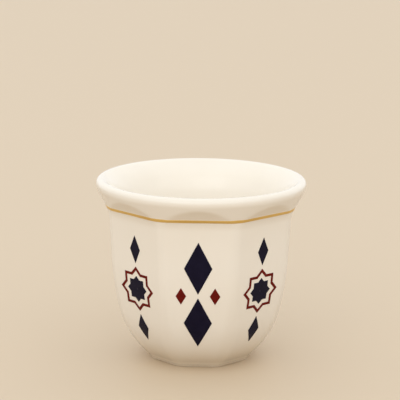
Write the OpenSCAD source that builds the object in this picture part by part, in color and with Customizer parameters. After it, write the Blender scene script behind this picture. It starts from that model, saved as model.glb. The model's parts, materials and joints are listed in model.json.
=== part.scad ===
// Small handleless coffee cup. Eight flats rise from the foot, die out in the neck
// and leave a round rolled lip. The inside is turned round.
// Millimetres, Z up, standing on Z = 0, the middle of the front flat faces -Y.

/* [Cup] */
// Height over the lip
cup_h = 57.4; // [50:0.1:68]
// Width across the flats at the neck, where the hollow under the lip begins
neck_af = 56.3; // [50:0.1:66]
// How far the lip stands out beyond the flats
lip_out = 4.85; // [4:0.05:6]
// Drop from the top of the lip to the neck
neck_drop = 10.8; // [9.5:0.1:13]
// Width across the flats where the cup stands
foot_af = 29.5; // [24:0.1:36]
// Number of flats, always even
flats = 8; // [8:2:12]
// How much the turning takes off each corner between two flats, at the neck
corner_cut = 0.45; // [0.3:0.05:1]
// How much it takes off those corners where the cup stands
foot_cut = 0.35; // [0.2:0.05:0.8]

/* [Side] */
// Lean of the upper side from the vertical, degrees
side_lean = 3.3; // [2:0.1:6]
// Height of the straight part of the side below the neck
side_h = 13; // [10:0.5:18]
// Lean of the side where it comes down to the foot rim, degrees
foot_lean = 48; // [42:1:56]

/* [Wall] */
// Wall thickness at the middle of a flat, glaze included
wall = 3.2; // [2.4:0.1:4]
// Height of the floor inside the cup
floor_h = 5; // [4.5:0.1:7]
// Radius of the flat middle of the floor
floor_r = 8; // [4:0.5:10]

/* [Lip] */
// Radius of the rolled edge
lip_r = 1.6; // [1.3:0.1:2]
// Rounding of the underside of the lip
under_lip_r = 3.2; // [2.2:0.1:4]
// Hollow under the lip, on the corners
corner_cove_r = 12; // [5:0.5:14]
// Hollow under the lip, on the flats
flat_cove_r = 7.5; // [5:0.5:10]
// How far outside the lip the flats run out
flat_run_out = 0.15; // [0.1:0.05:0.6]
// Roll of the inside below the lip
inner_roll_r = 14; // [9:0.5:18]

/* [Foot] */
// Height of the rim round the foot
rim_h = 1.8; // [1:0.1:3]
// Lean of that rim from the vertical, degrees
rim_lean = 32; // [20:1:40]
// Hollow between that rim and the side
rim_cove_r = 1.5; // [1:0.1:4]
// Width of the hollow in the underside
hollow_d = 21; // [16:0.5:22]
// Depth of the hollow in the underside
hollow_h = 1.4; // [0.8:0.1:2]
// Slope of the hollow's side, run for its whole depth
hollow_run = 1; // [0.5:0.1:2]
// Height at which the outer glaze stops above the foot
bare_h = 0.9; // [0.5:0.1:2]

/* [Layers] */
// Glaze thickness
glaze_t = 0.25; // [0.15:0.05:0.4]
// Drop from the top of the lip to the middle of the gold line
gold_drop = 7.6; // [6:0.1:10]
// Height of the gold line
gold_w = 1.1; // [0.4:0.05:1.5]
// Thickness of the gold line
gold_t = 0.1; // [0.06:0.02:0.2]
// Thickness of the printed transfers
print_t = 0.1; // [0.06:0.02:0.2]

/* [Print] */
// Drop from the top of the lip to the middle of the print
print_drop = 31.4; // [29:0.1:33]
// Width of the long lozenges
lozenge_w = 8.6; // [5:0.2:9]
// Height of the long lozenges
lozenge_h = 16.5; // [10:0.5:17]
// Gap between the tips of two lozenges
tip_gap = 1.2; // [0.6:0.1:2]
// Width of the small red lozenges
small_w = 3.2; // [2:0.1:3.8]
// Height of the small red lozenges
small_h = 5.4; // [3:0.1:6.5]
// Distance of the small red lozenges from the middle
small_x = 5.2; // [4:0.1:6.5]
// Tip circle of the red star
star_r = 7.2; // [5:0.1:8]
// Width of the red star's line
star_line = 0.85; // [0.5:0.05:1.2]
// Tip circle of the blue star inside it
heart_r = 4.2; // [2.4:0.1:4.6]
// Width of the lozenges above and below the star
slim_w = 4.4; // [2.4:0.1:5]
// Height of the lozenges above and below the star
slim_h = 8.8; // [5:0.1:9.5]
// Gap between the star's tip and those lozenges
slim_gap = 1.1; // [0.6:0.1:2]

/* [Hidden] */
$fn = 144;
arc_step = 5;
lip_step = 10;
clay_color = [0.93, 0.9, 0.84];
glaze_color = [0.96, 0.92, 0.84];
gold_color = [0.76, 0.6, 0.3];
blue_color = [0.08, 0.08, 0.2];
red_color = [0.5, 0.08, 0.06];

// Sizes of the bare clay, one glaze thickness inside the finished cup
neck_z = cup_h - neck_drop;
gold_z = cup_h - gold_drop;
print_z = cup_h - print_drop;
half_turn = 180 / flats;
flat_neck = neck_af / 2 - glaze_t;
corner_neck = flat_neck / cos(half_turn) - corner_cut;
flat_foot = foot_af / 2;
corner_foot = flat_foot / cos(half_turn) - foot_cut;
clay_lip_r = lip_r - glaze_t;
lip_centre = [neck_af / 2 + lip_out - lip_r, cup_h - lip_r];
clay_under_r = under_lip_r - glaze_t;
under_centre = [neck_af / 2 + lip_out - under_lip_r, cup_h - lip_r];
inner_neck = neck_af / 2 - wall + glaze_t;
clay_floor = floor_h - glaze_t;
reach = neck_af;

// Upward direction that leans outward by an angle, and the outward normal beside it
function lean(a) = [sin(a), cos(a)];
function outward(a) = [cos(a), -sin(a)];
function heading(a) = [cos(a), sin(a)];
function bearing(v) = atan2(v[1], v[0]);
function turn(a) = a > 180 ? a - 360 : (a < -180 ? a + 360 : a);
function past_first(points) = [for (i = [1:len(points) - 1]) points[i]];
function mirrored(points) = [for (i = [len(points) - 1:-1:0]) [-points[i][0], points[i][1]]];

// Points of the shorter arc round a centre from p to q, moved outward by g
function arc(centre, p, q, g, step) =
    let (start = bearing(p - centre))
    let (sweep = turn(bearing(q - centre) - start))
    let (count = max(2, ceil(abs(sweep) / step)))
    let (r = norm(p - centre) + g)
    [for (i = [0:count]) centre + r * heading(start + sweep * i / count)];

// Two arcs that leave p along t and reach q along u: their joint and both centres
function arc_centre(p, t, m) =
    let (n = [-t[1], t[0]])
    p + n * ((m - p) * (m - p)) / (2 * (n * (m - p)));
function arc_pair(p, t, q, u) =
    let (v = q - p)
    let (along = v * (t + u))
    let (k = 2 * (1 - t * u))
    let (d = (sqrt(along * along + k * (v * v)) - along) / k)
    let (m = (p + q + d * (t - u)) / 2)
    [m, arc_centre(p, t, m), arc_centre(q, u, m)];

// Side from the top of the foot rim up to the neck, moved outward by g: the hollow over
// the rim, then two arcs that end in the straight upper side
function side(neck, foot, g) =
    let (p = [neck, neck_z] - lean(side_lean) * side_h / cos(side_lean))
    let (rim_top = [foot, 0] + lean(rim_lean) * rim_h / cos(rim_lean))
    let (centre = rim_top + rim_cove_r * outward(rim_lean))
    let (q = centre - rim_cove_r * outward(foot_lean))
    let (pair = arc_pair(p, -lean(side_lean), q, -lean(foot_lean)))
    concat(
        arc(centre, rim_top, q, -g, arc_step),
        past_first(arc(pair[2], q, pair[0], g, arc_step)),
        past_first(arc(pair[1], pair[0], p, g, arc_step))
    );

// Hollow under the lip and the lip's underside: a cove that leaves the side at the neck,
// its tangent to the circle of radius r about aim, and that circle out to its widest point.
// The cove is never wider than the room between the neck and that circle
function flare(neck, cove_r, aim, r, g) =
    let (top = [neck, neck_z])
    let (w = top - aim)
    let (room = (w * w - r * r) / (2 * (r - w * outward(side_lean))))
    let (fit_r = min(cove_r, 0.97 * room))
    let (centre = top + fit_r * outward(side_lean))
    let (gap = aim - centre)
    let (normal = heading(bearing(gap) + acos((fit_r + r) / norm(gap))))
    concat(
        arc(centre, top, centre + fit_r * normal, -g, arc_step),
        arc(aim, aim - r * normal, aim + [r, 0], g, lip_step)
    );

// Inside from the lip down to the floor, moved into the cavity by g
function inside(g) =
    let (base = [inner_neck, neck_z] + inner_roll_r * outward(side_lean))
    let (w = base - lip_centre)
    let (drop = w * lean(side_lean))
    let (span = inner_roll_r - clay_lip_r)
    let (rise = -drop - sqrt(drop * drop - w * w + span * span))
    let (centre = base + rise * lean(side_lean))
    let (lip_end = centre + inner_roll_r * (lip_centre - centre) / span)
    let (wall_top = centre - inner_roll_r * outward(side_lean))
    let (p = [inner_neck, neck_z] - lean(side_lean) * side_h / cos(side_lean))
    let (q = [floor_r, clay_floor])
    let (pair = arc_pair(p, -lean(side_lean), q, [-1, 0]))
    concat(
        arc(centre, lip_end, wall_top, g, arc_step),
        arc(pair[1], p, pair[0], -g, arc_step),
        arc(pair[2], pair[0], q, -g, arc_step),
        [[0, clay_floor + g]]
    );

// Half section of the wall as it would be turned, through a corner
module corner_section(g) {
    foot_x = corner_foot + g / cos(rim_lean);
    rising = side(corner_neck, corner_foot, g);
    under_lip = flare(corner_neck, corner_cove_r, under_centre, clay_under_r, g);
    bowl = inside(g);
    lip = past_first(arc(lip_centre, lip_centre + [clay_lip_r + g, 0], bowl[0], 0, lip_step));
    polygon(concat([[0, 0], [foot_x, 0]], rising, under_lip, lip, past_first(bowl)));
}

// Full section between two opposite flats, open above the lip and below the foot
module flat_section(g) {
    below = [flat_foot, 0] - 3 * lean(rim_lean) + g * outward(rim_lean);
    aim = under_centre + [flat_run_out, 0];
    under_lip = flare(flat_neck, flat_cove_r, aim, clay_under_r, g);
    above = [aim[0] + clay_under_r + g, cup_h + 2];
    half = concat([below], side(flat_neck, flat_foot, g), under_lip, [above]);
    polygon(concat(half, mirrored(half)));
}

// One pair of opposite flats, facing along X
module flat_pair(g) {
    rotate([90, 0, 0])
        linear_extrude(height = 2 * reach, center = true)
            flat_section(g);
}

// Closed cup without the hollow in its underside, grown by g all over
module cup_blank(g) {
    intersection() {
        rotate_extrude() corner_section(g);
        intersection_for (i = [0:flats / 2 - 1])
            rotate([0, 0, 2 * half_turn * i - 90]) flat_pair(g);
    }
}

module porcelain_body() {
    color(clay_color)
    difference() {
        cup_blank(0);
        rotate_extrude()
            polygon([
                [0, -1],
                [hollow_d / 2 + hollow_run / hollow_h, -1],
                [hollow_d / 2 - hollow_run, hollow_h],
                [0, hollow_h]
            ]);
    }
}

module glaze_coat() {
    color(glaze_color)
    difference() {
        cup_blank(glaze_t);
        cup_blank(0);
        translate([-reach, -reach, -reach]) cube([2 * reach, 2 * reach, reach + bare_h]);
    }
}

module underside_glaze() {
    color(glaze_color)
    rotate_extrude()
        polygon([
            [0, hollow_h - glaze_t],
            [hollow_d / 2 - hollow_run, hollow_h - glaze_t],
            [hollow_d / 2 - hollow_run, hollow_h],
            [0, hollow_h]
        ]);
}

module gold_line() {
    color(gold_color)
    difference() {
        intersection() {
            cup_blank(glaze_t + gold_t);
            translate([-reach, -reach, gold_z - gold_w / 2]) cube([2 * reach, 2 * reach, gold_w]);
        }
        cup_blank(glaze_t);
        cylinder(h = cup_h, r = flat_neck - wall / 2);
    }
}

// A thin sheet that follows the flat in the given place; its drawing is the child
module transfer(place) {
    rotate([0, 0, 2 * half_turn * place - 90])
    intersection() {
        rotate([90, 0, 90]) linear_extrude(height = reach) children();
        difference() {
            flat_pair(glaze_t + print_t);
            flat_pair(glaze_t);
        }
    }
}

module lozenge(w, h) {
    polygon([[w / 2, 0], [0, h / 2], [-w / 2, 0], [0, -h / 2]]);
}

// Eight-pointed star, the outline of two squares laid crosswise
module star(r) {
    notch = r * cos(45) / cos(22.5);
    polygon([for (i = [0:15]) (i % 2 == 0 ? r : notch) * heading(i * 22.5)]);
}

module blue_lozenges(k) {
    color(blue_color)
    transfer(2 * k - 2)
        for (s = [-1, 1])
            translate([0, print_z + s * (lozenge_h + tip_gap) / 2]) lozenge(lozenge_w, lozenge_h);
}

module red_lozenges(k) {
    color(red_color)
    transfer(2 * k - 2)
        for (s = [-1, 1])
            translate([s * small_x, print_z]) lozenge(small_w, small_h);
}

module red_star(k) {
    color(red_color)
    transfer(2 * k - 1)
        translate([0, print_z])
            difference() {
                star(star_r);
                star(star_r - star_line / cos(45));
            }
}

module blue_star(k) {
    color(blue_color)
    transfer(2 * k - 1) {
        translate([0, print_z]) star(heart_r);
        for (s = [-1, 1])
            translate([0, print_z + s * (star_r + slim_gap + slim_h / 2)]) lozenge(slim_w, slim_h);
    }
}

porcelain_body();
glaze_coat();
underside_glaze();
gold_line();
for (k = [1:flats / 2]) {
    blue_lozenges(k);
    red_lozenges(k);
    red_star(k);
    blue_star(k);
}
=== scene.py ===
import json
import math

import bpy
import numpy as np
from mathutils import Matrix, Vector

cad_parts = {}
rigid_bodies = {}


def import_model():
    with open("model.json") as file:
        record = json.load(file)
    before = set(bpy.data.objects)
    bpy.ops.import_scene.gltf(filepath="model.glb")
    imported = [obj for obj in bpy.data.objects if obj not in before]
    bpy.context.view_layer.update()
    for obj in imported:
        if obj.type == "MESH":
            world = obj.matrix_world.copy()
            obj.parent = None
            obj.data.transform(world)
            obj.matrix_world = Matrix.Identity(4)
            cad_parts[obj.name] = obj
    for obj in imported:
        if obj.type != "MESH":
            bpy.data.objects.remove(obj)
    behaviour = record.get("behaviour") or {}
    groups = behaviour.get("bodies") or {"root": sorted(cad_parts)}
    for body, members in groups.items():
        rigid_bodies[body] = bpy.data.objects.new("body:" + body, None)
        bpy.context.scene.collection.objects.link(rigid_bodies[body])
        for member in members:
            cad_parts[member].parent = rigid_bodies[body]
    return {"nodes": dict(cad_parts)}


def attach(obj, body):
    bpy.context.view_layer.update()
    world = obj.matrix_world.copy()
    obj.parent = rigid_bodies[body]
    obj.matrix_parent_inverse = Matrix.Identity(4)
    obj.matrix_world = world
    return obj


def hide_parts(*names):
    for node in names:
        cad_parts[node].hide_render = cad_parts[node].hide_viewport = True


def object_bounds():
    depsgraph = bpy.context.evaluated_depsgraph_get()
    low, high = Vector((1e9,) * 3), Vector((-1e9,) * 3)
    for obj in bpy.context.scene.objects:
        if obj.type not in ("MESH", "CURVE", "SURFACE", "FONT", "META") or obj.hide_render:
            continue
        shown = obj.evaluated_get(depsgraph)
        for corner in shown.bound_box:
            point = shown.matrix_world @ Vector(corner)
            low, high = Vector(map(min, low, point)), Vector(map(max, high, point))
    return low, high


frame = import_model()
cadBox = [list(corner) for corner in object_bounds()]  # the box of the solids, which the glaze stays inside
mm = 0.001  # the cup's sizes are written in millimetres
boxMargin = 0.002  # the glaze stays this far inside the box of the solids
boxReach = min(abs(side) for corner in cadBox for side in corner[:2]) / mm - boxMargin
boxTop = cadBox[1][2] / mm - boxMargin
print("frame loaded,", len(frame["nodes"]), "nodes")

cup = {  # the cup's own sizes, as they are in the solids
    "height": 57.4, "neckFlats": 56.3, "lipOut": 4.85, "neckDrop": 10.8, "footFlats": 29.5,
    "flats": 8, "cornerCut": 0.45, "footCut": 0.35, "sideLean": 3.3, "sideHeight": 13.0, "footLean": 48.0,
    "wall": 3.2, "floor": 5.0, "floorFlat": 8.0, "lipRound": 1.6, "underLip": 3.2,
    "cornerCove": 12.0, "flatCove": 7.5, "coveShare": 0.97, "flatRunOut": 0.15, "flatRunOn": 2.0,
    "innerRoll": 14.0, "rimHeight": 1.8, "rimLean": 32.0, "rimCove": 1.5, "glaze": 0.25, "bareFoot": 0.9,
}
edgeSoft = {"side": 0.12, "lip": 0.05, "lipDrop": 2.0}  # softness of the edges between flats, less at the lip
arcSteps = 48  # straight pieces in every arc
farOut = 99.0  # a radius beyond the cup, for flats that no longer cut
cornerCrowd = 0.55  # how much closer together the turn angles are at the corners
neckZ = cup["height"] - cup["neckDrop"]
flatTurn = 2 * math.pi / cup["flats"]
flatNeck = cup["neckFlats"] / 2 - cup["glaze"]
flatFoot = cup["footFlats"] / 2
cornerNeck = flatNeck / math.cos(flatTurn / 2) - cup["cornerCut"]
cornerFoot = flatFoot / math.cos(flatTurn / 2) - cup["footCut"]
lipWide = cup["neckFlats"] / 2 + cup["lipOut"]
clayLip = cup["lipRound"] - cup["glaze"]
lipCentre = np.array([lipWide - cup["lipRound"], cup["height"] - cup["lipRound"]])
clayUnder = cup["underLip"] - cup["glaze"]
underCentre = np.array([lipWide - cup["underLip"], cup["height"] - cup["lipRound"]])


def lean(degrees):  # upward direction that leans outward: sine across, cosine up
    angle = math.radians(degrees)
    return np.array([math.sin(angle), math.cos(angle)])


def outward(degrees):  # the normal beside that direction: cosine across, sine down
    angle = math.radians(degrees)
    return np.array([math.cos(angle), -math.sin(angle)])


# Arc the short way from begin to end: centre plus the radius, grown by grow, times a turning unit vector
def arcLine(centre, begin, end, grow=0.0):
    start = math.atan2(*(begin - centre)[::-1])
    sweep = (math.atan2(*(end - centre)[::-1]) - start + math.pi) % (2 * math.pi) - math.pi
    angle = start + sweep * np.linspace(0, 1, arcSteps + 1)
    return centre + (np.linalg.norm(begin - centre) + grow) * np.stack([np.cos(angle), np.sin(angle)], 1)


# Two tangent arcs from begin along beginWay to end along endWay: the joint is where both tangent lengths
# are equal, and each centre lies square to its way, as far from its own end as from the joint
def arcPair(begin, beginWay, end, endWay):
    chord = end - begin
    along = chord @ (beginWay + endWay)
    opening = 2 * (1 - beginWay @ endWay)
    tangent = (math.sqrt(along * along + opening * (chord @ chord)) - along) / opening
    joint = (begin + end + tangent * (beginWay - endWay)) / 2
    centres = []
    for point, way in ((begin, beginWay), (end, endWay)):
        square = np.array([-way[1], way[0]])
        reach = joint - point
        centres.append(point + square * (reach @ reach) / (2 * (square @ reach)))
    return joint, *centres


# Points spread evenly along a line: the length run so far against each coordinate
def spread(line, step):
    run = np.concatenate([[0.0], np.cumsum(np.hypot(*np.diff(line, axis=0).T))])
    at = np.linspace(0, run[-1], max(2, int(run[-1] / step) + 1))
    return np.stack([np.interp(at, run, line[:, 0]), np.interp(at, run, line[:, 1])], 1)


# Side line from the foot to the neck: the straight rim, a small hollow over it, two arcs, a straight lean
def sideLine(neck, foot, grow):
    top, base = np.array([neck, neckZ]), np.array([foot, 0.0])
    up, rim = lean(cup["sideLean"]), lean(cup["rimLean"])
    leanFoot = top - up * cup["sideHeight"] / up[1]
    rimTop = base + rim * cup["rimHeight"] / rim[1]
    hollow = rimTop + cup["rimCove"] * outward(cup["rimLean"])
    hollowEnd = hollow - cup["rimCove"] * outward(cup["footLean"])
    joint, high, low = arcPair(leanFoot, -up, hollowEnd, -lean(cup["footLean"]))
    return np.vstack([
        base + grow * outward(cup["rimLean"]), arcLine(hollow, rimTop, hollowEnd, -grow),
        arcLine(low, hollowEnd, joint, grow)[1:], arcLine(high, joint, leanFoot, grow)[1:],
        top + grow * outward(cup["sideLean"]),
    ])


# Hollow under the lip: a cove arc at the neck, its tangent to the circle of the lip's underside about aim,
# then that circle to its widest point. The cove stays small enough for the tangent to exist
def flareLine(neck, cove, aim, grow):
    top, side = np.array([neck, neckZ]), outward(cup["sideLean"])
    toNeck = top - aim
    widestCove = (toNeck @ toNeck - clayUnder * clayUnder) / (2 * (clayUnder - toNeck @ side))
    cove = min(cove, cup["coveShare"] * widestCove)
    centre = top + cove * side
    gap = aim - centre
    angle = math.atan2(gap[1], gap[0]) + math.acos((cove + clayUnder) / np.linalg.norm(gap))
    normal = np.array([math.cos(angle), math.sin(angle)])
    rise = arcLine(centre, top, centre + cove * normal, -grow)
    underside = arcLine(aim, aim - clayUnder * normal, aim + np.array([clayUnder, 0.0]), grow)
    return np.vstack([rise, underside])


# Inside from the lip to the middle of the floor: roll, straight lean, two arcs of the bowl
# The roll touches the wall's line and the lip's circle, which lies inside it, so the two centres are
# as far apart as the two radii differ
def insideLine(grow):
    up, side = lean(cup["sideLean"]), outward(cup["sideLean"])
    top = np.array([cup["neckFlats"] / 2 - cup["wall"] + cup["glaze"], neckZ])
    base = top + cup["innerRoll"] * side
    fromLip, span = base - lipCentre, cup["innerRoll"] - clayLip
    drop = fromLip @ up + math.sqrt((fromLip @ up) ** 2 - fromLip @ fromLip + span * span)
    centre = base - up * drop
    lipEnd = centre + cup["innerRoll"] * (lipCentre - centre) / span
    leanFoot = top - up * cup["sideHeight"] / up[1]
    floorEdge = np.array([cup["floorFlat"], cup["floor"] - cup["glaze"]])
    joint, high, low = arcPair(leanFoot, -up, floorEdge, np.array([-1.0, 0.0]))
    return np.vstack([
        arcLine(centre, lipEnd, centre - cup["innerRoll"] * side, grow),
        arcLine(high, leanFoot, joint, -grow), arcLine(low, joint, floorEdge, -grow)[1:],
        [[0.0, floorEdge[1] + grow]],
    ])


def cornerOutline(grow):  # outside through a corner, foot to the widest point of the lip
    flare = flareLine(cornerNeck, cup["cornerCove"], underCentre, grow)[1:]
    return np.vstack([sideLine(cornerNeck, cornerFoot, grow), flare])


def flatOutline(grow):  # outside through the middle of a flat, run on straight up past the lip
    aim = underCentre + np.array([cup["flatRunOut"], 0.0])
    flare = flareLine(flatNeck, cup["flatCove"], aim, grow)[1:]
    runOn = [[flare[-1, 0], cup["height"] + cup["flatRunOn"]]]
    return np.vstack([sideLine(flatNeck, flatFoot, grow), flare, runOn])


# Radius of the outside: the lesser of the turned corner and the flat, softened where the two are close
# The flat's radius is its distance over the cosine of the angle from its middle
def outerRadius(theta, corner, flat, soft):
    fold = (theta + flatTurn / 2) % flatTurn - flatTurn / 2
    plane = flat / np.cos(fold)
    return np.minimum(corner, plane) - soft * np.log1p(np.exp(-np.abs(corner - plane) / soft))


# The same radius at any height below the lip, read from the two outlines
def skinRadius(theta, z, grow):
    corner, flat = cornerOutline(grow), flatOutline(grow)
    cornerR = np.interp(z, corner[:, 1], corner[:, 0])
    return outerRadius(theta, cornerR, np.interp(z, flat[:, 1], flat[:, 0]), edgeSoft["side"])


def evenTurns(count):  # turn angles in equal steps
    return np.arange(count) * 2 * math.pi / count


def around(count):  # turn angles crowded at the corners: equal steps plus a sine with one wave to each flat
    turns = evenTurns(count)
    return turns + cornerCrowd * np.sin(cup["flats"] * turns) / cup["flats"]


def swing(radius, theta, z):  # radius times sine and minus cosine of the turn angle, 0 faces the front, -Y
    return np.stack([radius * np.sin(theta), -radius * np.cos(theta), np.broadcast_to(z, radius.shape)], -1)


# Points of a stack of rings, then the poles on the axis
def stackPoints(rings, turns, heights, poles):
    points = swing(rings, turns[None, :], heights[:, None]).reshape(-1, 3)
    return np.vstack([points, [[0, 0, z] for z in poles]])


# Quads between neighbouring rings of a stack, each ring with the same number of points
# closed joins the last ring to the first, wrapped the last point of each ring to its first
def ringQuads(rings, count, start=0, closed=False, wrapped=True):
    here = np.arange(count if wrapped else count - 1)
    beside = (here + 1) % count
    row = np.arange(rings if closed else rings - 1)[:, None]
    low, high = row * count, (row + 1) % rings * count
    return start + np.stack([low + here, low + beside, high + beside, high + here], -1).reshape(-1, 4)


# Triangles from a pole to one ring; after says that the pole closes the end of the stack
def poleFan(pole, row, count, after):
    here = row * count + np.arange(count)
    beside = row * count + (np.arange(count) + 1) % count
    ring = [here, beside] if after else [beside, here]
    return np.stack([np.full(count, pole), *ring], -1)


# Faces of a stack whose two ends are closed by poles
def stackFaces(rows, count):
    firstPole, lastPole = rows * count, rows * count + 1
    return [
        ringQuads(rows, count), poleFan(firstPole, 0, count, False), poleFan(lastPole, rows - 1, count, True),
    ]


def bell(distance, width):  # e to the minus square of distance over width
    return np.exp(-(distance / width) ** 2)


# Mesh of one piece on the body, in place of its solid; values are numbers kept at each point
def makePiece(name, points, faceSets, node, slotName, material, values=None):
    mesh = bpy.data.meshes.new(name)
    mesh.from_pydata((points * mm).tolist(), [], sum((faces.tolist() for faces in faceSets), []))
    for key, array in (values or {}).items():
        mesh.attributes.new(key, "FLOAT", "POINT").data.foreach_set("value", array.astype(np.float32))
    mesh.shade_smooth()
    mesh.validate()
    piece = bpy.data.objects.new(name, mesh)
    bpy.context.scene.collection.objects.link(piece)
    mesh.materials.append(material)
    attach(piece, "root")
    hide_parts(node)


# Materials
mixShare, mixStart, mixEnd, mixColor = 0, 6, 7, 2  # inputs of a mix node set to colours, and its output
firstIn, secondIn, thirdIn = 0, 1, 2  # inputs of a math node, which share one name
waveTurn = 2 * math.pi / 20  # one ring of a wave texture, which turns 20 radians over each unit


def hexColor(text):  # sRGB hex to linear, by the sRGB curve
    channel = np.array([int(text[i:i + 2], 16) / 255 for i in (1, 3, 5)])
    linear = np.where(channel <= 0.04045, channel / 12.92, ((channel + 0.055) / 1.055) ** 2.4)
    return (*linear.tolist(), 1.0)


def perMetre(size):  # repeats in a metre of a pattern whose size is in millimetres
    return 1 / mm / size


# One node with its settings, the values of its inputs and the links into them
def addNode(tree, kind, inputs=None, links=None, **settings):
    item = tree.nodes.new("ShaderNode" + kind)
    for key, value in settings.items():
        setattr(item, key, value)
    for key, value in (inputs or {}).items():
        item.inputs[key].default_value = value
    for key, socket in (links or {}).items():
        tree.links.new(socket, item.inputs[key])
    return item


def newMaterial(name):  # an empty material and its node tree
    material = bpy.data.materials.new(name)
    material.use_nodes = True
    material.node_tree.nodes.clear()
    return material, material.node_tree


# Clear gloss glaze over cream porcelain: a sharp but faintly wavy shine, warmer and darker under the lip and
# at the foot, where it pools and where shade is painted, and whiter deeper in the bowl, where light is
# painted
glazeLook = {
    "thin": "#FAF3E6", "pooledAndShaded": "#EADDC6", "inner": "#FEF8ED", "ior": 1.52, "roughness": (0.05, 0.12),
    "cloud": (22.0, 3.0), "wave": (9.0, 1.0), "ripple": (1.6, 2.0),  # size and detail of each unevenness
    "cloudShare": 0.3, "poolAndShadeRange": (0.08, 1.15),
    "waveBump": 0.5, "waveDepth": 0.05, "rippleBump": 0.3, "rippleDepth": 0.006,
}
glazedPorcelain, tree = newMaterial("glazedPorcelain")
place = addNode(tree, "TexCoord").outputs["Object"]
# share of the darker tone: glaze pooling plus painted shade under the lip, in the middle of each flat and at
# the foot
poolAndShade = addNode(tree, "Attribute", attribute_name="poolAndShade").outputs["Fac"]
# painted light: the share of the whiter inner tone, larger deeper in the bowl where shade falls
inner = addNode(tree, "Attribute", attribute_name="inner").outputs["Fac"]
cloud, wave, ripple = (
    addNode(tree, "TexNoise", {"Scale": perMetre(size), "Detail": detail}, {"Vector": place}).outputs["Fac"]
    for size, detail in (glazeLook["cloud"], glazeLook["wave"], glazeLook["ripple"]))
cloudy = addNode(
    tree, "Math", {secondIn: glazeLook["cloudShare"]}, {firstIn: cloud, thirdIn: poolAndShade},
    operation="MULTIPLY_ADD").outputs[0]
least, most = glazeLook["poolAndShadeRange"]
poolAndShadeShare = addNode(tree, "MapRange", {"From Min": least, "From Max": most}, {"Value": cloudy}).outputs[0]
outerTone = addNode(
    tree, "Mix", {mixStart: hexColor(glazeLook["thin"]), mixEnd: hexColor(glazeLook["pooledAndShaded"])},
    {mixShare: poolAndShadeShare}, data_type="RGBA").outputs[mixColor]
# painted light: the whiter inner tone is mixed in deep in the bowl
tone = addNode(
    tree, "Mix", {mixEnd: hexColor(glazeLook["inner"])}, {mixShare: inner, mixStart: outerTone},
    data_type="RGBA").outputs[mixColor]
least, most = glazeLook["roughness"]
rough = addNode(tree, "MapRange", {"To Min": least, "To Max": most}, {"Value": ripple}).outputs[0]
wavy = addNode(
    tree, "Bump", {"Strength": glazeLook["waveBump"], "Distance": glazeLook["waveDepth"] * mm},
    {"Height": wave}).outputs[0]
rippled = addNode(
    tree, "Bump", {"Strength": glazeLook["rippleBump"], "Distance": glazeLook["rippleDepth"] * mm},
    {"Height": ripple, "Normal": wavy}).outputs[0]
shader = addNode(
    tree, "BsdfPrincipled", {"IOR": glazeLook["ior"]},
    {"Base Color": tone, "Roughness": rough, "Normal": rippled})
addNode(tree, "OutputMaterial", links={"Surface": shader.outputs[0]})

# Bare porcelain biscuit of the wiped foot: matt, sandy grain and faint wiping rings
clayLook = {
    "pale": "#F0E5D2", "dark": "#E2D3B9", "ior": 1.5, "roughness": 0.78,
    "grain": 0.45, "grainDetail": 4.0,  # coarser than real biscuit, so that it shows
    "rings": 1.78, "ringShare": 0.35, "ringSway": 1.5, "swayScale": 2.0, "bump": 0.6, "bumpDepth": 0.04,
}
bareBiscuit, tree = newMaterial("bareBiscuit")
place = addNode(tree, "TexCoord").outputs["Object"]
grain = addNode(
    tree, "TexNoise", {"Scale": perMetre(clayLook["grain"]), "Detail": clayLook["grainDetail"]},
    {"Vector": place}).outputs["Fac"]
wiped = addNode(
    tree, "TexWave",
    {"Scale": perMetre(clayLook["rings"]) * waveTurn, "Distortion": clayLook["ringSway"],
     "Detail Scale": clayLook["swayScale"]},
    {"Vector": place}, wave_type="RINGS", rings_direction="Z").outputs["Fac"]
sandy = addNode(
    tree, "Math", {secondIn: clayLook["ringShare"]}, {firstIn: wiped, thirdIn: grain},
    operation="MULTIPLY_ADD").outputs[0]
tone = addNode(
    tree, "Mix", {mixStart: hexColor(clayLook["pale"]), mixEnd: hexColor(clayLook["dark"])},
    {mixShare: sandy}, data_type="RGBA").outputs[mixColor]
rubbed = addNode(
    tree, "Bump", {"Strength": clayLook["bump"], "Distance": clayLook["bumpDepth"] * mm},
    {"Height": sandy}).outputs[0]
shader = addNode(
    tree, "BsdfPrincipled", {"IOR": clayLook["ior"], "Roughness": clayLook["roughness"]},
    {"Base Color": tone, "Normal": rubbed})
addNode(tree, "OutputMaterial", links={"Surface": shader.outputs[0]})

# Fired gold lustre brushed on as a line: satin metal, a little thinner in places
goldLook = {
    "bright": "#EBCB81", "worn": "#D7B268", "roughness": (0.28, 0.45),
    "drift": (6.0, 3.0), "streak": (0.5, 2.0),  # size and detail
    "bump": 0.25, "bumpDepth": 0.01,
}
goldLustre, tree = newMaterial("goldLustre")
place = addNode(tree, "TexCoord").outputs["Object"]
drift, streak = (
    addNode(tree, "TexNoise", {"Scale": perMetre(size), "Detail": detail}, {"Vector": place}).outputs["Fac"]
    for size, detail in (goldLook["drift"], goldLook["streak"]))
tone = addNode(
    tree, "Mix", {mixStart: hexColor(goldLook["bright"]), mixEnd: hexColor(goldLook["worn"])},
    {mixShare: drift}, data_type="RGBA").outputs[mixColor]
least, most = goldLook["roughness"]
rough = addNode(tree, "MapRange", {"To Min": least, "To Max": most}, {"Value": streak}).outputs[0]
brushed = addNode(
    tree, "Bump", {"Strength": goldLook["bump"], "Distance": goldLook["bumpDepth"] * mm},
    {"Height": streak}).outputs[0]
shader = addNode(
    tree, "BsdfPrincipled", {"Metallic": 1.0}, {"Base Color": tone, "Roughness": rough, "Normal": brushed})
addNode(tree, "OutputMaterial", links={"Surface": shader.outputs[0]})

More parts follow.
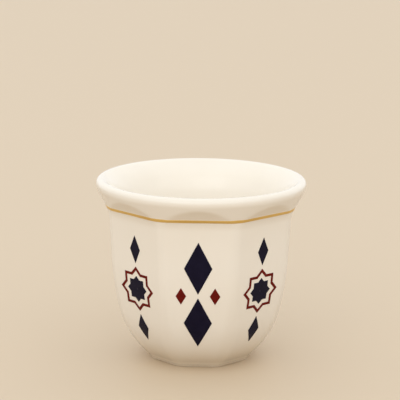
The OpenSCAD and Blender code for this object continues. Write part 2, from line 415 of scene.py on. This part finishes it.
# Fired on-glaze enamel: a glassy film, uneven by a few per cent,
# thinner at its edge and softer in shine than the glaze
enamelLook = {
    "tones": {"navyEnamel": ("#100D24", "#1B1830"), "redEnamel": ("#64100A", "#7E1C12")},  # deep and thin
    "ior": 1.5, "shine": 0.1, "roughness": (0.14, 0.26), "film": 2.5, "filmDetail": 4.0,
    "edgeShare": 0.5, "thinRange": (0.35, 1.2), "bump": 0.2, "bumpDepth": 0.01,
}
enamels = {}
for enamelName, (deepTone, thinTone) in enamelLook["tones"].items():
    enamels[enamelName], tree = newMaterial(enamelName)
    place = addNode(tree, "TexCoord").outputs["Object"]
    edge = addNode(tree, "Attribute", attribute_name="edge").outputs["Fac"]
    film = addNode(
        tree, "TexNoise", {"Scale": perMetre(enamelLook["film"]), "Detail": enamelLook["filmDetail"]},
        {"Vector": place}).outputs["Fac"]
    thinner = addNode(
        tree, "Math", {secondIn: enamelLook["edgeShare"]}, {firstIn: edge, thirdIn: film},
        operation="MULTIPLY_ADD").outputs[0]
    least, most = enamelLook["thinRange"]
    thinness = addNode(tree, "MapRange", {"From Min": least, "From Max": most}, {"Value": thinner}).outputs[0]
    tone = addNode(
        tree, "Mix", {mixStart: hexColor(deepTone), mixEnd: hexColor(thinTone)}, {mixShare: thinness},
        data_type="RGBA").outputs[mixColor]
    least, most = enamelLook["roughness"]
    rough = addNode(tree, "MapRange", {"To Min": least, "To Max": most}, {"Value": film}).outputs[0]
    uneven = addNode(
        tree, "Bump", {"Strength": enamelLook["bump"], "Distance": enamelLook["bumpDepth"] * mm},
        {"Height": film}).outputs[0]
    shader = addNode(
        tree, "BsdfPrincipled", {"IOR": enamelLook["ior"], "Specular IOR Level": enamelLook["shine"]},
        {"Base Color": tone, "Roughness": rough, "Normal": uneven})
    addNode(tree, "OutputMaterial", links={"Surface": shader.outputs[0]})
print("materials ready:", len(bpy.data.materials))


# Rings of the outside, lip and inside for a skin grown by grow
# Rows are stations along the outline, columns the turn angle
def cupRings(grow, turns, low, sideStep, lipStep):
    corner, flat, inside = cornerOutline(grow), flatOutline(grow), insideLine(grow)
    lowR = np.interp(low, corner[:, 1], corner[:, 0])
    side = corner[(corner[:, 1] > low[-1]) & (corner[:, 1] < neckZ)]
    side = spread(np.vstack([[[lowR[-1], low[-1]]], side]), sideStep)
    crest = arcLine(lipCentre, corner[-1], inside[0])[1:]
    lip = spread(np.vstack([side[-1:], corner[corner[:, 1] >= neckZ], crest]), lipStep)
    outside = np.vstack([np.stack([lowR, low], 1), side[1:], lip[1:]])
    z = outside[:, 1]
    rising = np.arange(len(outside)) < np.argmax(z)
    flatR = np.where(rising, np.interp(z, flat[:, 1], flat[:, 0]), farOut)  # past the crest no flat cuts
    soft = np.interp(z, [neckZ, cup["height"] - edgeSoft["lipDrop"]], [edgeSoft["side"], edgeSoft["lip"]])
    radius = outerRadius(turns[None, :], outside[:, :1], flatR[:, None], soft[:, None])
    roll, rest = inside[:arcSteps + 1], inside[arcSteps + 1:]
    bowl = np.vstack([spread(roll, lipStep * 2), spread(rest, sideStep)])
    rings = np.vstack([radius, np.repeat(bowl[1:-1, :1], len(turns), 1)])
    return rings, np.concatenate([z, bowl[1:-1, 1]]), bowl[-1, 1], len(outside)


# sizes of the coat, of its painted shade with glaze pooling under the lip and at the foot, and of its painted
# light in the bowl
glazeCoat = {
    "turns": 256, "sideStep": 0.5, "lipStep": 0.25, "skin": 0.02, "skinSideStep": 1.2, "skinLipStep": 0.8,
    "rollHeight": 0.35, "rollRows": 7, "neckPoolAndShade": 0.14, "neckShadeRise": 6.2, "neckShadeWidth": 1.4,
    "footPoolAndShade": 0.9, "footShadeWidth": 5.0, "leastInset": 0.05, "bowlLightFrom": 5.0, "bowlLightRun": 6.0,
}
turns = around(glazeCoat["turns"])
count = len(turns)
bend = np.linspace(0, math.pi / 2, glazeCoat["rollRows"])  # the lower edge of the coat is a quarter round
low = cup["bareFoot"] + glazeCoat["rollHeight"] * (1 - np.cos(bend))
outer, outerZ, outerFloor, outsideRows = cupRings(
    cup["glaze"], turns, low, glazeCoat["sideStep"], glazeCoat["lipStep"])
outer, outerZ = np.minimum(outer, boxReach), np.minimum(outerZ, boxTop)
under, underZ, underFloor, _ = cupRings(
    glazeCoat["skin"], turns, low[:1], glazeCoat["skinSideStep"], glazeCoat["skinLipStep"])
thin = skinRadius(turns[None, :], low[:, None], glazeCoat["skin"])
outer[:len(low)] = thin + (outer[:len(low)] - thin) * np.sin(bend)[:, None]
rings = np.vstack([outer, under[:0:-1]])
heights = np.concatenate([outerZ, underZ[:0:-1]])
points = stackPoints(rings, turns, heights, [outerFloor, underFloor])
rows, first = len(rings), len(outer)
closing = np.concatenate([np.arange((rows - 1) * count, rows * count), np.arange(count)])
faceSets = [
    ringQuads(first, count), ringQuads(rows - first, count, first * count), closing[ringQuads(2, count)],
    poleFan(rows * count, first - 1, count, True), poleFan(rows * count + 1, first, count, False),
]
outside = (np.arange(rows) < outsideRows)[:, None]
level = heights[:, None]
inset = np.max(rings, axis=1, keepdims=True) - rings
deepest = np.maximum(np.max(inset, axis=1, keepdims=True), glazeCoat["leastInset"])
inset = np.sqrt(inset / deepest)  # 0 on a corner, 1 in the middle of a flat
# Glaze gathers, with painted shade on it, under the lip, in the middle of each flat, and at the foot
underLip = inset * bell(level - neckZ - glazeCoat["neckShadeRise"], glazeCoat["neckShadeWidth"])
atFoot = bell(level - cup["bareFoot"], glazeCoat["footShadeWidth"])
pooledAndShaded = (glazeCoat["neckPoolAndShade"] * underLip + glazeCoat["footPoolAndShade"] * atFoot) * outside
# Painted light in the bowl: the glaze is drawn whiter, 0 near the lip, 1 deeper down
paintedBowlLight = np.clip((cup["height"] - glazeCoat["bowlLightFrom"] - level) / glazeCoat["bowlLightRun"], 0, 1) * ~outside
coatValues = {
    "poolAndShade": np.append(pooledAndShaded, [0.0, 0.0]),  # the last two are the poles
    "inner": np.append(np.broadcast_to(paintedBowlLight, rings.shape), [1.0, 1.0]),
}
makePiece("glazeCoat", points, faceSets, "glaze_coat", "glaze", glazedPorcelain, coatValues)
print("glaze coat:", len(points), "points")

porcelainBody = {
    "turns": 192, "sideStep": 0.8, "lipStep": 0.6, "hollow": 21.0, "hollowDepth": 1.4, "hollowRun": 1.0,
    "hollowSlope": 54.0, "hollowRings": [2.0, 5.0, 8.0], "edgeRound": 0.5, "edgeRows": 7,
    "ringRound": 0.4, "ringRows": 6, "standRows": 4,
}
turns = around(porcelainBody["turns"])
count = len(turns)
tilt = math.radians(cup["rimLean"])
edgeR, ringR = porcelainBody["edgeRound"], porcelainBody["ringRound"]
edgeTop = np.array([edgeR * (1 - math.sin(tilt))])
clay, clayZ, clayFloor, _ = cupRings(0.0, turns, edgeTop, porcelainBody["sideStep"], porcelainBody["lipStep"])
# Foot edge: arc tangent to the table and to the side
edgeBend = np.linspace(-math.pi / 2, -tilt, porcelainBody["edgeRows"])
edgeShift = edgeR * (np.cos(edgeBend) - (1 - math.sin(tilt)) / math.cos(tilt))
edgeRings = outerRadius(turns, cornerFoot, flatFoot, edgeSoft["side"])[None, :] + edgeShift[:, None]
# Inner edge of the ring: arc tangent to the table and to the hollow's side
slope = math.radians(porcelainBody["hollowSlope"])
ringBend = np.linspace(slope, 0, porcelainBody["ringRows"])
ringZ = ringR * (1 - np.cos(ringBend))
hollowR = porcelainBody["hollow"] / 2
ceilingR = [*porcelainBody["hollowRings"], hollowR - porcelainBody["hollowRun"]]
roundR = np.concatenate([ceilingR, hollowR + ringR * (math.tan(slope / 2) - np.sin(ringBend))])
roundZ = np.concatenate([np.full(len(ceilingR), porcelainBody["hollowDepth"]), ringZ])
# Standing face: rings between the two edges
share = np.linspace(0, 1, porcelainBody["standRows"] + 2)[1:-1, None]
standing = (1 - share) * roundR[-1] + share * edgeRings[:1]
rings = np.vstack([np.repeat(roundR[:, None], count, 1), standing, edgeRings, clay[1:]])
heights = np.concatenate([roundZ, np.zeros(len(standing)), edgeR * (1 + np.sin(edgeBend)), clayZ[1:]])
points = stackPoints(rings, turns, heights, [porcelainBody["hollowDepth"], clayFloor])
makePiece("porcelainBody", points, stackFaces(len(rings), count), "porcelain_body", "porcelain", bareBiscuit)
print("porcelain body:", len(points), "points")

undersideGlaze = {
    "radius": 9.5, "thick": 0.25, "top": 1.4, "roll": 0.35, "rollRows": 7, "seat": 0.01,
    "firstRing": 1.5, "flatRows": 5, "backShare": 0.7, "turns": 96, "poolAndShade": 0.35,
}
count = undersideGlaze["turns"]
backZ = undersideGlaze["top"]
faceZ = backZ - undersideGlaze["thick"]
bend = np.linspace(0, math.pi / 2, undersideGlaze["rollRows"])  # quarter round rim
rimR = undersideGlaze["radius"] - undersideGlaze["roll"] * (1 - np.sin(bend))
rimZ = backZ - undersideGlaze["seat"] - (undersideGlaze["thick"] - undersideGlaze["seat"]) * np.cos(bend)
faceR = np.linspace(undersideGlaze["firstRing"], rimR[0], undersideGlaze["flatRows"] + 1)[:-1]
backR = [undersideGlaze["radius"] * undersideGlaze["backShare"], undersideGlaze["firstRing"]]
profileR = np.concatenate([faceR, rimR, backR])
heights = np.concatenate([np.full(len(faceR), faceZ), rimZ, np.full(len(backR), backZ)])
rings = np.repeat(profileR[:, None], count, 1)
points = stackPoints(rings, evenTurns(count), heights, [faceZ, backZ])
faceSets = stackFaces(len(rings), count)
patchValues = {"poolAndShade": np.full(len(points), undersideGlaze["poolAndShade"])}
makePiece("undersideGlaze", points, faceSets, "underside_glaze", "glaze", glazedPorcelain, patchValues)
print("underside glaze:", len(points), "points")

goldLine = {
    "drop": 7.6, "width": 1.1, "thick": 0.1, "filmShare": 0.8, "sunk": 0.02, "backSunk": 0.03,
    "sway": 0.05, "slowWaves": 5, "slowStart": 1.0, "fastWaves": 13, "turns": 384, "rows": 10,
}
turns = around(goldLine["turns"])
across = np.linspace(-1, 1, goldLine["rows"])[:, None]
# Brushed line: its width breathes with the mean of a slow and a fast sine
slow = np.sin(goldLine["slowWaves"] * turns + goldLine["slowStart"])
fast = np.sin(goldLine["fastWaves"] * turns)
breath = 1 - goldLine["sway"] * (1 + (slow + fast) / 2)
goldZ = cup["height"] - goldLine["drop"] + across * goldLine["width"] / 2 * breath[None, :]
base = skinRadius(turns[None, :], goldZ, cup["glaze"] - goldLine["sunk"])
film = skinRadius(turns[None, :], goldZ, cup["glaze"] + goldLine["filmShare"] * goldLine["thick"])
face = base + (film - base) * np.sqrt(1 - across ** 4)  # film section: flat top, rounded edges
rings = np.vstack([face, base[::-1][1:-1] - goldLine["backSunk"]])
heights = np.vstack([goldZ, goldZ[::-1][1:-1]])
points = swing(rings, turns[None, :], heights).reshape(-1, 3)
faceSets = [ringQuads(len(rings), len(turns), closed=True)]
makePiece("goldLine", points, faceSets, "gold_line", "gold", goldLustre)
print("gold line:", len(points), "points")

# Printed sheets: a drawing in flat coordinates, x across and z up, laid on the skin of one flat
printed = {
    "drop": 31.4, "thick": 0.09, "sunk": 0.02, "grid": 24, "starTurns": 128, "starRings": 10, "pinhole": 0.02,
}
middle = cup["height"] - printed["drop"]


# Drawing points on a flat: the turn angle is the arc tangent of x over the flat's distance at that height
def onFlat(x, z, flatNumber, grow):
    flat = flatOutline(grow)
    theta = np.arctan2(x, np.interp(z, flat[:, 1], flat[:, 0]))
    return swing(skinRadius(theta, z, grow), theta + flatTurn * flatNumber, z)


# Closed sheet from a grid of drawing points: upper skin, lower skin and a wall round the edge
def sheetGrid(x, z, flatNumber, wrapped):
    rows, cols = x.shape
    size = rows * cols
    rim = np.zeros((rows, cols))
    rim[[0, -1]] = 1
    top = onFlat(x, z, flatNumber, cup["glaze"] + printed["thick"])
    low = onFlat(x, z, flatNumber, cup["glaze"] - printed["sunk"])
    quads = ringQuads(rows, cols, wrapped=wrapped)
    here = np.arange(cols if wrapped else cols - 1)
    beside = (here + 1) % cols
    lastRow, lastCol = size - cols, cols - 1
    border = [np.stack([here, beside], -1), np.stack([lastRow + beside, lastRow + here], -1)]
    if not wrapped:
        rim[:, [0, -1]] = 1
        rowStart = np.arange(rows - 1) * cols
        border.append(np.stack([rowStart + cols, rowStart], -1))
        border.append(np.stack([rowStart + lastCol, rowStart + cols + lastCol], -1))
    edge = np.vstack(border)
    wall = np.stack([edge[:, 1], edge[:, 0], edge[:, 0] + size, edge[:, 1] + size], -1)
    points = np.vstack([top.reshape(-1, 3), low.reshape(-1, 3)])
    return points, np.vstack([quads, quads[:, ::-1] + size, wall]), np.tile(rim.reshape(-1), 2)


# Two lozenges, one on each side of the middle of the flat
# Each runs from its lower tip a share towards the right tip and a share towards the left
def lozengePair(width, height, out, rise):
    share = np.linspace(0, 1, printed["grid"])
    right, left = np.meshgrid(share, share)
    x, z = width / 2 * (right - left), middle + height / 2 * (right + left - 1)
    return [(x + side * out, z + side * rise, False) for side in (-1, 1)]


# Eight-pointed star: at each angle the larger of two crossed squares, scaled from inner to outer
def starGrid(inner, outer):
    angle = evenTurns(printed["starTurns"])
    quarter, eighth = math.pi / 2, math.pi / 4
    upright = 1 / np.cos(angle % quarter - eighth)
    turned = 1 / np.cos((angle + eighth) % quarter - eighth)
    outline = np.maximum(upright, turned) * math.cos(eighth)
    radius = np.linspace(inner, outer, printed["starRings"])[:, None] * outline[None, :]
    return radius * np.cos(angle), middle + radius * np.sin(angle), True


# One piece from the drawings of one colour on one flat
def layPrint(name, node, ink, drawings, flatNumber):
    points, faces, rims, base = [], [], [], 0
    for x, z, wrapped in drawings:
        sheetPoints, sheetFaces, sheetRim = sheetGrid(x, z, flatNumber, wrapped)
        points.append(sheetPoints)
        faces.append(sheetFaces + base)
        rims.append(sheetRim)
        base += len(sheetPoints)
    makePiece(name, np.vstack(points), faces, node, *ink, {"edge": np.concatenate(rims)})


lozenges = {
    "width": 8.6, "height": 16.5, "tipGap": 1.2, "smallWidth": 3.2, "smallHeight": 5.4, "smallOut": 5.2,
}
stars = {"tip": 7.2, "line": 0.85, "heart": 4.2, "slimWidth": 4.4, "slimHeight": 8.8, "slimGap": 1.1}
bigRise = (lozenges["height"] + lozenges["tipGap"]) / 2
slimRise = stars["tip"] + stars["slimGap"] + stars["slimHeight"] / 2
big = lozengePair(lozenges["width"], lozenges["height"], 0.0, bigRise)
small = lozengePair(lozenges["smallWidth"], lozenges["smallHeight"], lozenges["smallOut"], 0.0)
slim = lozengePair(stars["slimWidth"], stars["slimHeight"], 0.0, slimRise)
ring = starGrid(stars["tip"] - stars["line"] / math.cos(math.pi / 4), stars["tip"])
heart = starGrid(printed["pinhole"], stars["heart"])
blueInk = ("blue_enamel", enamels["navyEnamel"])
redInk = ("red_enamel", enamels["redEnamel"])
pairs = cup["flats"] // 2
for pair in range(1, pairs + 1):  # flats with lozenges and flats with stars take turns
    flatNumber = 2 * (pair - 1)
    layPrint(f"blueLozenges{pair}", f"blue_lozenges_{pair}", blueInk, big, flatNumber)
    layPrint(f"redLozenges{pair}", f"red_lozenges_{pair}", redInk, small, flatNumber)
    layPrint(f"redStar{pair}", f"red_star_{pair}", redInk, [ring], flatNumber + 1)
    layPrint(f"blueStar{pair}", f"blue_star_{pair}", blueInk, [heart, *slim], flatNumber + 1)
print("printed sheets:", 4 * pairs)

# Plain table top: pale to the camera and in reflections, with the soft warm bounce of wood
stageLook = {"seen": "#DCC9AE", "bounced": "#B39C7C", "roughness": 0.6, "size": 8.0}  # size in metres
paleFloor, tree = newMaterial("paleFloor")
ray = addNode(tree, "LightPath").outputs
direct = ray["Is Camera Ray"]
for kind in ("Is Glossy Ray", "Is Transmission Ray"):
    direct = addNode(tree, "Math", {}, {firstIn: direct, secondIn: ray[kind]}, operation="MAXIMUM").outputs[0]
tone = addNode(
    tree, "Mix", {mixStart: hexColor(stageLook["bounced"]), mixEnd: hexColor(stageLook["seen"])},
    {mixShare: direct}, data_type="RGBA").outputs[mixColor]
shader = addNode(tree, "BsdfPrincipled", {"Roughness": stageLook["roughness"]}, {"Base Color": tone})
addNode(tree, "OutputMaterial", links={"Surface": shader.outputs[0]})
half = stageLook["size"] / 2
corners = [(-half, -half, 0), (half, -half, 0), (half, half, 0), (-half, half, 0)]
floorMesh = bpy.data.meshes.new("floor")
floorMesh.from_pydata(corners, [], [(0, 1, 2, 3)])
floorMesh.materials.append(paleFloor)
floor = bpy.data.objects.new("floor", floorMesh)
bpy.context.scene.collection.objects.link(floor)

# Light tent: each axis has its glow, the same both ways, and a direction's light is the sum of the three,
# each times the size of the direction's part along that axis
dome = {"beside": 0.65, "before": 0.87, "above": 0.54, "tint": "#FFFFFF"}
world = bpy.data.worlds.new("softRoom")
bpy.context.scene.world = world
world.use_nodes = True
tree = world.node_tree
way = addNode(tree, "TexCoord").outputs["Generated"]
part = addNode(tree, "VectorMath", {}, {firstIn: way}, operation="ABSOLUTE").outputs[0]
strengths = (dome["beside"], dome["before"], dome["above"])
glow = addNode(tree, "VectorMath", {secondIn: strengths}, {firstIn: part}, operation="DOT_PRODUCT")
background = tree.nodes["Background"].inputs
background["Color"].default_value = hexColor(dome["tint"])
tree.links.new(glow.outputs["Value"], background["Strength"])

frontBox = {  # place, aim and size in metres
    "place": (-0.25, -1.4, 0.65), "aim": (0, 0, 0.03), "size": 1.2, "watts": 3.0, "tint": "#FFFFFF",
}
light = bpy.data.lights.new("frontBox", "AREA")
light.shape, light.size, light.energy = "SQUARE", frontBox["size"], frontBox["watts"]
light.color = hexColor(frontBox["tint"])[:3]
lamp = bpy.data.objects.new("frontBox", light)
lamp.location = frontBox["place"]
lamp.rotation_mode = "QUATERNION"
lamp.rotation_quaternion = (Vector(frontBox["aim"]) - Vector(frontBox["place"])).to_track_quat("-Z", "Y")
bpy.context.scene.collection.objects.link(lamp)

view = {  # angles in degrees, away and lookAt in millimetres, focal, right and down in pixels of the frame
    "azimuth": 1.377, "elevation": 14.128, "roll": 0.6, "away": 628.4, "lookAt": 30.0,
    "focal": 1986.3, "right": 1.12, "down": 62.36, "framePixels": 400, "sensor": 36.0, "clip": (0.01, 30.0),
}
azimuth, elevation = math.radians(view["azimuth"]), math.radians(view["elevation"])
cameraData = bpy.data.cameras.new("camera")
cameraData.sensor_width = view["sensor"]
cameraData.lens = view["sensor"] * view["focal"] / view["framePixels"]
cameraData.clip_start, cameraData.clip_end = view["clip"]  # metres
camera = bpy.data.objects.new("camera", cameraData)
back = Vector((
    math.sin(azimuth) * math.cos(elevation), -math.cos(azimuth) * math.cos(elevation), math.sin(elevation)))
turnUp = math.atan(view["down"] / view["focal"])
turnLeft = math.atan(view["right"] / view["focal"])
camera.matrix_world = (
    Matrix.Translation(Vector((0, 0, view["lookAt"] * mm)) + back * view["away"] * mm)
    @ Matrix.Rotation(azimuth + turnLeft, 4, "Z")
    @ Matrix.Rotation(math.pi / 2 - elevation + turnUp, 4, "X")
    @ Matrix.Rotation(math.radians(view["roll"]), 4, "Z")
)
bpy.context.scene.collection.objects.link(camera)
bpy.context.scene.camera = camera
bpy.context.scene.view_settings.view_transform = "Standard"
print("stage, light and camera set")

bpy.context.view_layer.update()
